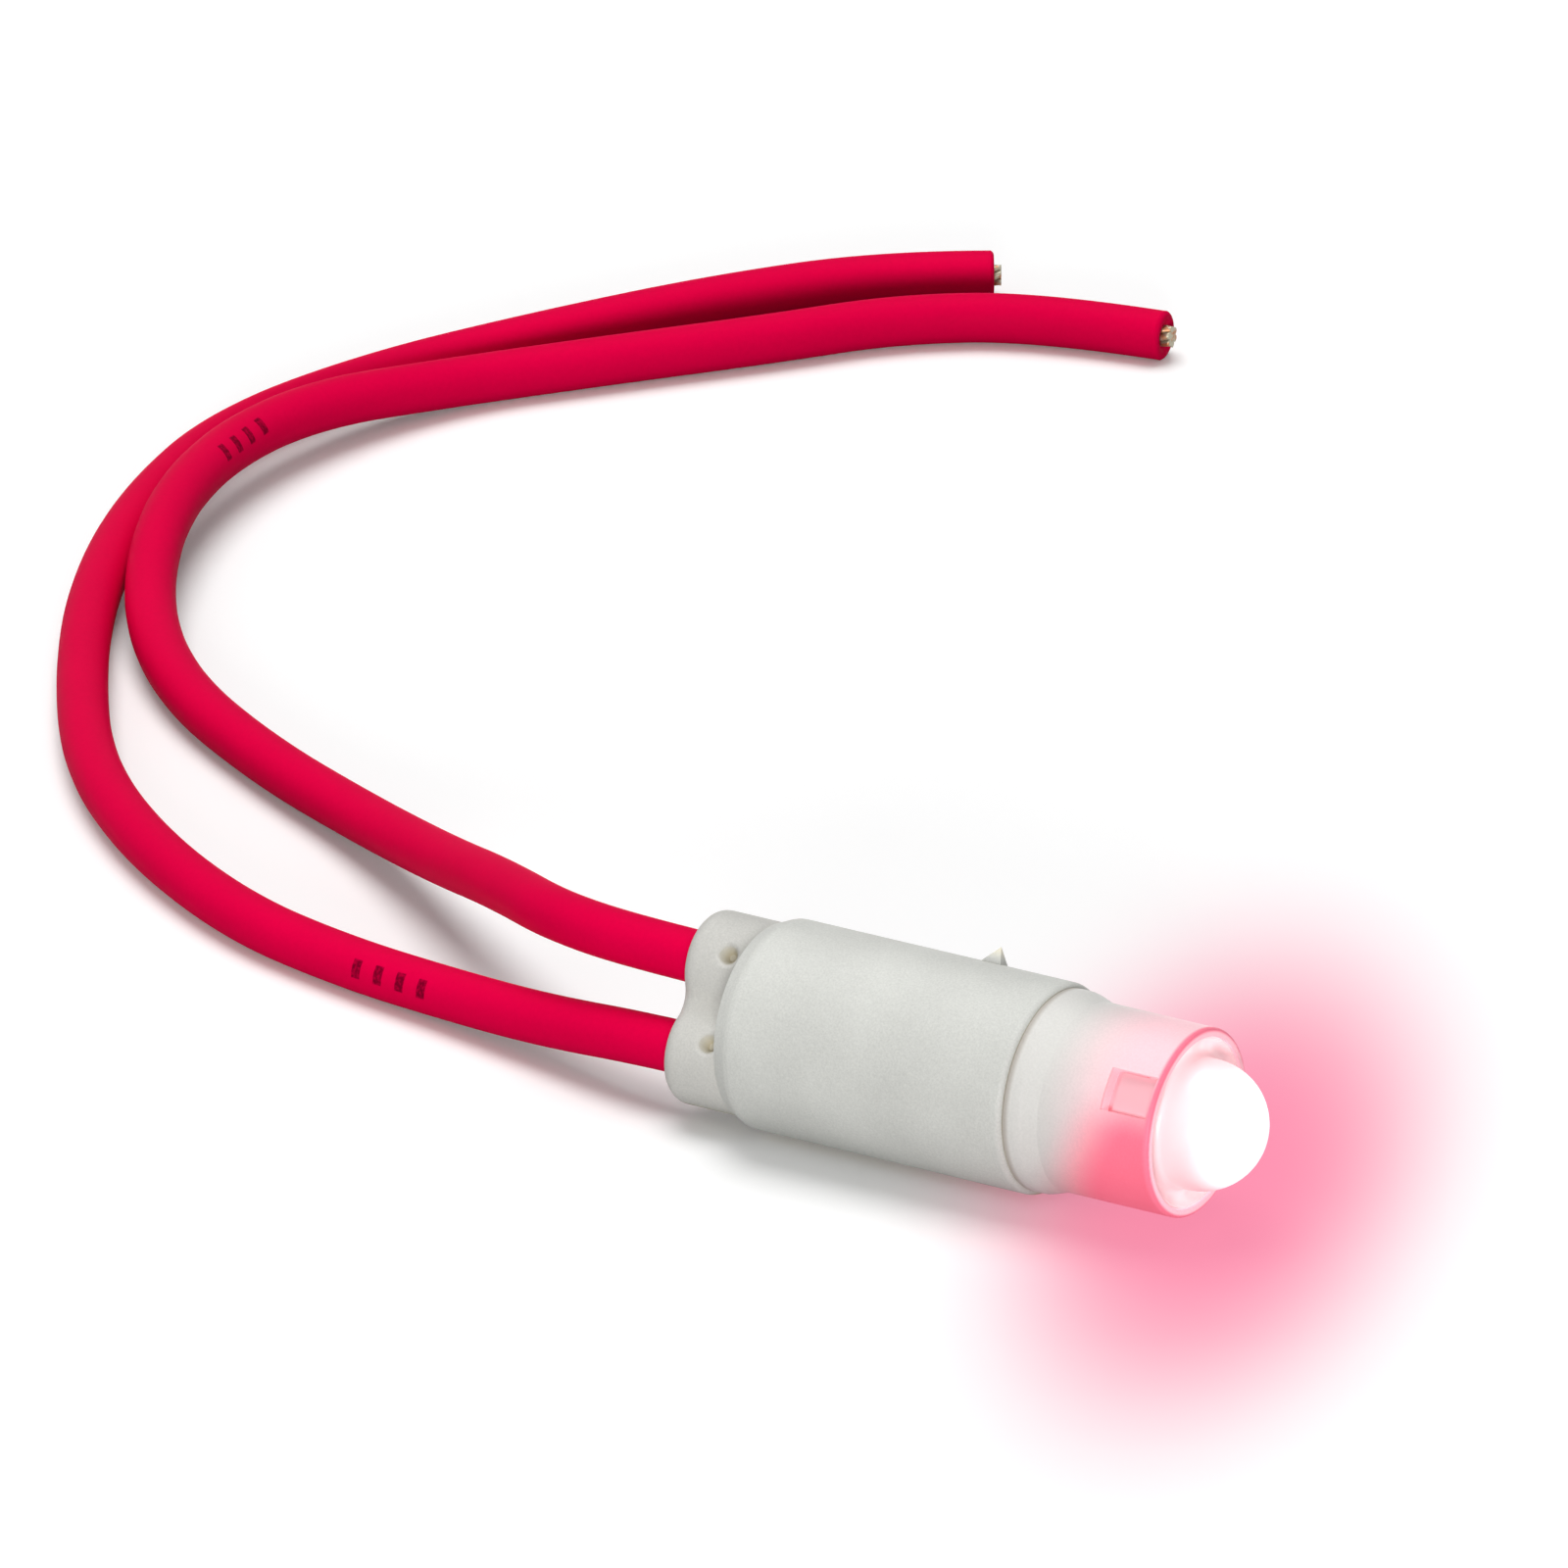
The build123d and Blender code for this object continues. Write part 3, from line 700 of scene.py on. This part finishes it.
# Tinned strands with copper showing in patches
def tinnedCopper():
    material, tree, surface, place = newMaterial("tinnedCopper")
    patches = noise(tree, "worn tinning", place, strands["patchesPerMetre"])
    bare = ramp(tree, "bare copper", patches, *strands["patchSpan"])
    colour = mixColour(tree, "tin and copper", bare, strands["tin"], strands["copper"])
    join(tree, colour, surface.inputs["Base Color"])
    surface.inputs["Metallic"].default_value = strands["metallic"]
    setFinish(surface, strands["roughness"])
    return material


# A smooth curve with the route's points as its control points, as thick as the lead
def leadCurve(name, route):
    curve = bpy.data.curves.new(name, "CURVE")
    curve.dimensions = "3D"
    curve.resolution_u = lead["alongSteps"]
    curve.bevel_depth = lead["radius"]
    curve.bevel_resolution = lead["roundSteps"]
    curve.use_fill_caps = True
    spline = curve.splines.new("NURBS")
    spline.points.add(len(route) - 1)
    for point, (x, y, z) in zip(spline.points, route):
        point.co = (x * mm, y * mm, z * mm, 1.0)
    spline.order_u = 3
    spline.use_endpoint_u = True
    spline.use_smooth = True
    piece = bpy.data.objects.new(name, curve)
    bpy.context.scene.collection.objects.link(piece)
    return piece


# Where a lead ends, the way it points there, and the two directions square to that
def endAxes(route):
    end = Vector(route[-1]) * mm
    direction = (Vector(route[-1]) - Vector(route[-2])).normalized()
    side = direction.cross(Vector((0, 0, 1))).normalized()
    return end, direction, side, side.cross(direction)


def ringOf(shape, middle, side, up, radius, count):
    turns = [2 * math.pi * k / count for k in range(count)]
    return [shape.verts.new(middle + radius * (side * math.cos(a) + up * math.sin(a))) for a in turns]


def bridge(shape, rings):
    for first, second in zip(rings, rings[1:]):
        for k in range(len(first)):
            following = (k + 1) % len(first)
            shape.faces.new((first[k], first[following], second[following], second[k]))


def meshPiece(name, shape, smoothSides):
    bmesh.ops.recalc_face_normals(shape, faces=shape.faces[:])
    for face in shape.faces:
        face.smooth = smoothSides and len(face.verts) == 4
    mesh = bpy.data.meshes.new(name)
    shape.to_mesh(mesh)
    shape.free()
    piece = bpy.data.objects.new(name, mesh)
    bpy.context.scene.collection.objects.link(piece)
    return piece


# The insulation's cut end: a soft edge and a face that dishes in to the conductor
def cutEnd(name, route):
    end, direction, side, up = endAxes(route)
    shape = bmesh.new()
    rings = []
    for reach, radius in cutFace["profile"]:
        rings.append(ringOf(shape, end + direction * reach * mm, side, up, radius * mm, cutFace["sides"]))
    bridge(shape, rings)
    first, second = cutFace["raggedTurns"]
    for k, vertex in enumerate(rings[cutFace["raggedRing"]]):
        vertex.co += direction * cutFace["raggedness"] * math.sin(first * k) * math.cos(second * k)
    return meshPiece(name, shape, True)


# Twisted strands round a middle one, which stand out of the cut end with flat cut faces
def strandedTip(name, route):
    end, direction, side, up = endAxes(route)
    strand = strands["bundleRadius"] / 3
    around = [2 * math.pi * k / strands["around"] for k in range(strands["around"])]
    places = [(0.0, 0.0)] + [(2 * strand * math.cos(a), 2 * strand * math.sin(a)) for a in around]
    shape = bmesh.new()
    for a, b in places:
        rings = []
        for step in range(strands["steps"] + 1):
            share = step / strands["steps"]
            cosine, sine = math.cos(strands["twist"] * share), math.sin(strands["twist"] * share)
            middle = end + direction * strands["length"] * share
            middle += side * (a * cosine - b * sine) + up * (a * sine + b * cosine)
            rings.append(ringOf(shape, middle, side, up, strand, strands["sides"]))
        bridge(shape, rings)
        shape.faces.new(rings[-1])
        shape.faces.new(list(reversed(rings[0])))
    return meshPiece(name, shape, True)


tipMetal = tinnedCopper()
leadPieces = [
    ("upperLead", "upper_lead", upperRoute, (-84.6, 59.2, 2.9), (-0.13, 0.99, -0.02), 0.1605),
    ("lowerLead", "lower_lead", lowerRoute, (-36.9, 3.0, 1.5), (-0.98, 0.18, -0.03), 0.1618),
]
for name, cadName, route, inkCentre, inkAlong, length in leadPieces:
    curve = leadCurve(name, route)
    pvc = leadPvc(name + "Pvc", inkCentre, inkAlong)
    curve.data.materials.append(pvc)
    cut = cutEnd(name + "Cut", route)
    cut.data.materials.append(pvc)
    tip = strandedTip(name + "Tip", route)
    tip.data.materials.append(tipMetal)
    for piece in (curve, cut, tip):
        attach(piece, "root")
    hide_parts(cadName + "_insulation")
    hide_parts(cadName + "_conductor")
print("leads laid")


# Table

table = {
    "reach": 1.2,
    "colour": [1.0, 1.0, 1.0, 1.0],
    "roughness": 0.9,
    "gloss": 0.0,
    "glow": [1.0, 0.30, 0.45, 1.0],
    "glowCentre": (11.5 * mm, 5.4 * mm),
    "glowTurn": 0.417,
    "glowHalf": (10.7 * mm, 31.8 * mm),
    "glowEdge": 1.6,  # a larger number makes it sharper
    "glowOwnLight": 0.88,
    "plainOwnLight": 0.07,
    "sentBackUp": 0.2,  # share of its light that falls on other things
}


# One for rays from the camera, from a gloss or through something clear, nought for light on its way
def seenOrMirrored(tree):
    rays = addNode(tree, "ShaderNodeLightPath", "what looks").outputs
    seen = maths(tree, "seen or mirrored", "ADD", rays["Is Camera Ray"], rays["Is Glossy Ray"])
    return maths(tree, "or through", "ADD", seen, rays["Is Transmission Ray"], clamp=True)


def dimmedColour(colour, share):
    return [share * value for value in colour[:3]] + [1.0]


# A white table with the lamp's red light lying on it as a soft oval
def tableSurface():
    material, tree, surface, place = newMaterial("tableSurface")
    offsets = [
        maths(tree, "from the glow", "SUBTRACT", where, centre)
        for where, centre in zip(apart(tree, place), table["glowCentre"])
    ]
    x, y = offsets
    cosine, sine = math.cos(table["glowTurn"]), math.sin(table["glowTurn"])
    narrow = weighted(tree, "across the oval", [(x, cosine), (y, sine)])
    wide = weighted(tree, "along the oval", [(y, cosine), (x, -sine)])
    squares = []
    for offset, half in zip((narrow, wide), table["glowHalf"]):
        share = maths(tree, "share of the half", "DIVIDE", offset, half)
        squares.append(maths(tree, "squared", "MULTIPLY", share, share))
    reach = maths(tree, "reach", "POWER", maths(tree, "sum", "ADD", *squares), table["glowEdge"])
    mask = maths(tree, "fade", "EXPONENT", maths(tree, "minus", "MULTIPLY", reach, -1.0))
    own = table["glowOwnLight"]
    colour = mixColour(tree, "under the glow", mask, table["colour"], dimmedColour(table["glow"], 1 - own))
    light = mixColour(tree, "own light", mask, dimmedColour(table["colour"], table["plainOwnLight"]),
                      dimmedColour(table["glow"], own))
    looked = seenOrMirrored(tree)
    level = ramp(tree, "less light back up", looked, 0.0, 1.0, table["sentBackUp"], 1.0, smooth=False)
    join(tree, vectors(tree, "as seen or as felt", "SCALE", colour, level), surface.inputs["Base Color"])
    join(tree, light, surface.inputs["Emission Color"])
    join(tree, level, surface.inputs["Emission Strength"])
    setFinish(surface, table["roughness"], table["gloss"])
    return material


def buildTable():
    shape = bmesh.new()
    reach = table["reach"]
    corners = [(-reach, -reach), (reach, -reach), (reach, reach), (-reach, reach)]
    shape.faces.new([shape.verts.new((x, y, 0.0)) for x, y in corners])
    piece = meshPiece("table", shape, False)
    piece.data.materials.append(tableSurface())
    return piece


tableTop = buildTable()


# Camera and light

view = {
    "azimuth": math.radians(31.84),
    "elevation": math.radians(22.0),
    "distance": 1.35835,
    "target": (-0.036535, 0.04002, 0.0),
    "lens": 582.66,
    "sensor": 36.0,
    "clipEnd": 20.0,
}
light = {
    "keyAzimuth": view["azimuth"] + math.radians(193),
    "keyElevation": math.radians(73),
    "keyStrength": 2.0,
    "keySoftness": math.radians(46),
    "fillAzimuth": view["azimuth"] - math.radians(5),
    "fillElevation": math.radians(5),
    "fillStrength": 3.1,
    "fillSoftness": math.radians(22),
    "sky": 0.3,
}


# The direction from the object to what stands at that azimuth and elevation
def back(azimuth, elevation):
    flat = math.cos(elevation)
    return Vector((math.sin(azimuth) * flat, -math.cos(azimuth) * flat, math.sin(elevation)))


def aimed(piece, target):
    direction = Vector(target) - piece.location
    piece.rotation_euler = direction.to_track_quat("-Z", "Y").to_euler()
    return piece


# Even light from a direction, as from a large panel far off
def softSun(name, direction, strength, softness):
    data = bpy.data.lights.new(name, "SUN")
    data.energy = strength
    data.angle = softness
    piece = bpy.data.objects.new(name, data)
    piece.location = direction
    bpy.context.scene.collection.objects.link(piece)
    return aimed(piece, (0.0, 0.0, 0.0))


for panel in ("key", "fill"):
    direction = back(light[panel + "Azimuth"], light[panel + "Elevation"])
    softSun(panel + "Light", direction, light[panel + "Strength"], light[panel + "Softness"])

# A white surround to look at, and a weaker one for the light that it gives
world = bpy.data.worlds.new("studio")
bpy.context.scene.world = world
world.use_nodes = True
worldTree = world.node_tree
surround = worldTree.nodes["Background"]
surround.inputs["Color"].default_value = [1.0, 1.0, 1.0, 1.0]
skyLevel = ramp(worldTree, "strength", seenOrMirrored(worldTree), 0.0, 1.0, light["sky"], 1.0, smooth=False)
join(worldTree, skyLevel, surround.inputs["Strength"])

cameraData = bpy.data.cameras.new("camera")
cameraData.lens = view["lens"]
cameraData.sensor_width = view["sensor"]
cameraData.clip_end = view["clipEnd"]
camera = bpy.data.objects.new("camera", cameraData)
camera.location = Vector(view["target"]) + view["distance"] * back(view["azimuth"], view["elevation"])
bpy.context.scene.collection.objects.link(camera)
aimed(camera, view["target"])
bpy.context.scene.camera = camera
bpy.context.scene.view_settings.view_transform = "Standard"
print("table, lights and camera set")
